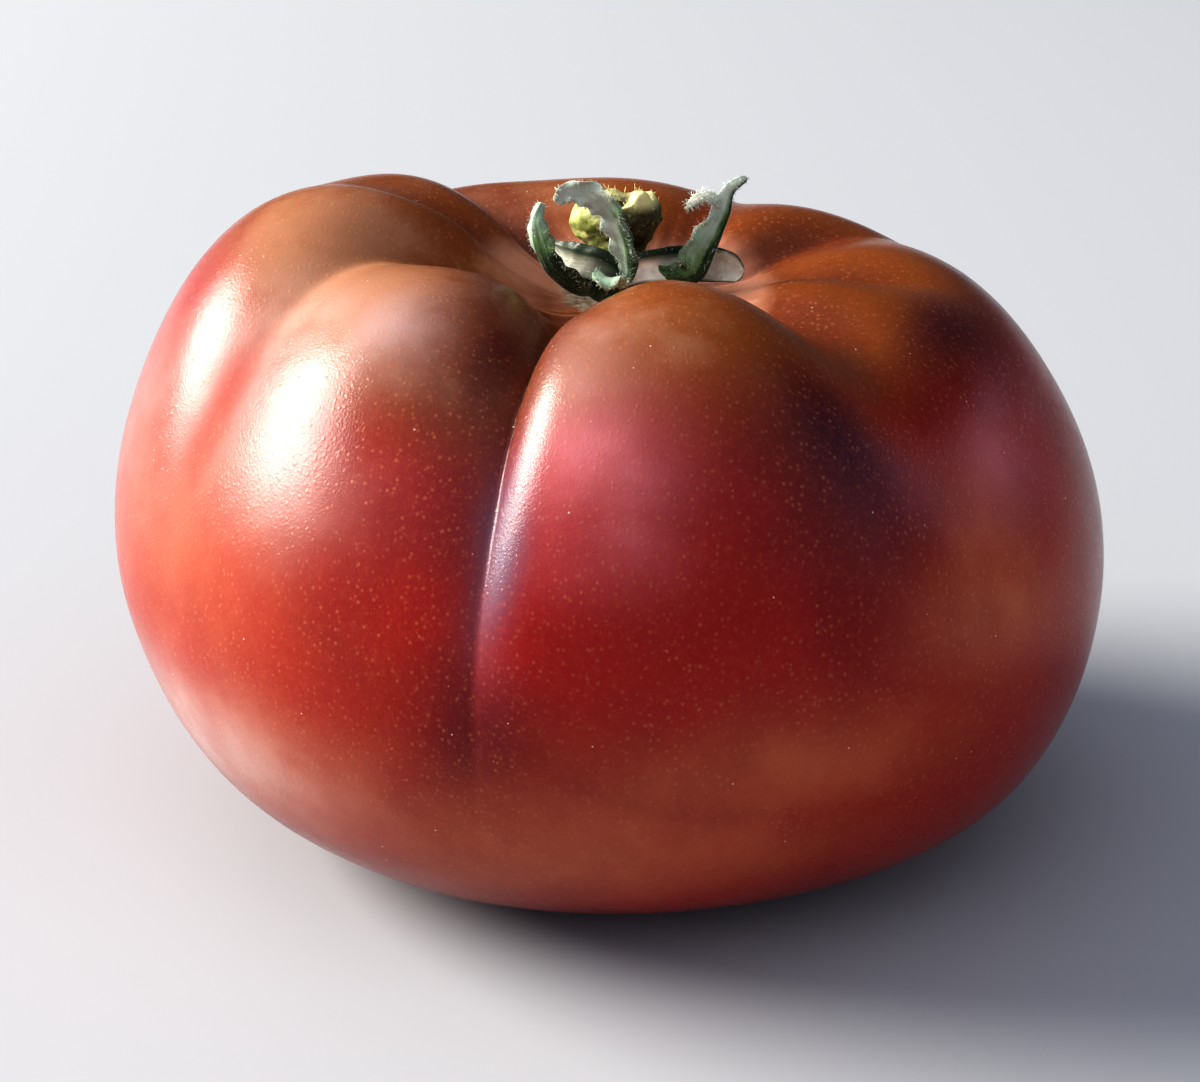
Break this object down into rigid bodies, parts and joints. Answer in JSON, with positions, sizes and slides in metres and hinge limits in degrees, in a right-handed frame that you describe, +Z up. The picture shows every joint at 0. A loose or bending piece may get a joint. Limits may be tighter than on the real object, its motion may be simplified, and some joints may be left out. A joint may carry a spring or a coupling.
{
  "type": "black prince tomato",
  "caption": "Whole ribbed, flattened dark tomato with a sunken stem basin, its green calyx and the stub of its stalk, resting on a flat spot.",
  "frame": {"origin": "on the surface the fruit rests on, below the middle of its bounding box; the point lies on the flat spot", "axes": "+X along the fruit's widest way, to the right as the picture shows it; +Y away from the viewer; +Z up, from the flat spot to the stem basin"},
  "size_m": [0.0863, 0.0809, 0.0587],
  "materials": {
    "skin": "gloss",
    "sepal": "matte",
    "stalk": "matte"
  },
  "bodies": {
    "root": {"fruit": "skin", "calyx": "sepal", "pedicel": "stalk"}
  },
  "joints": []
}
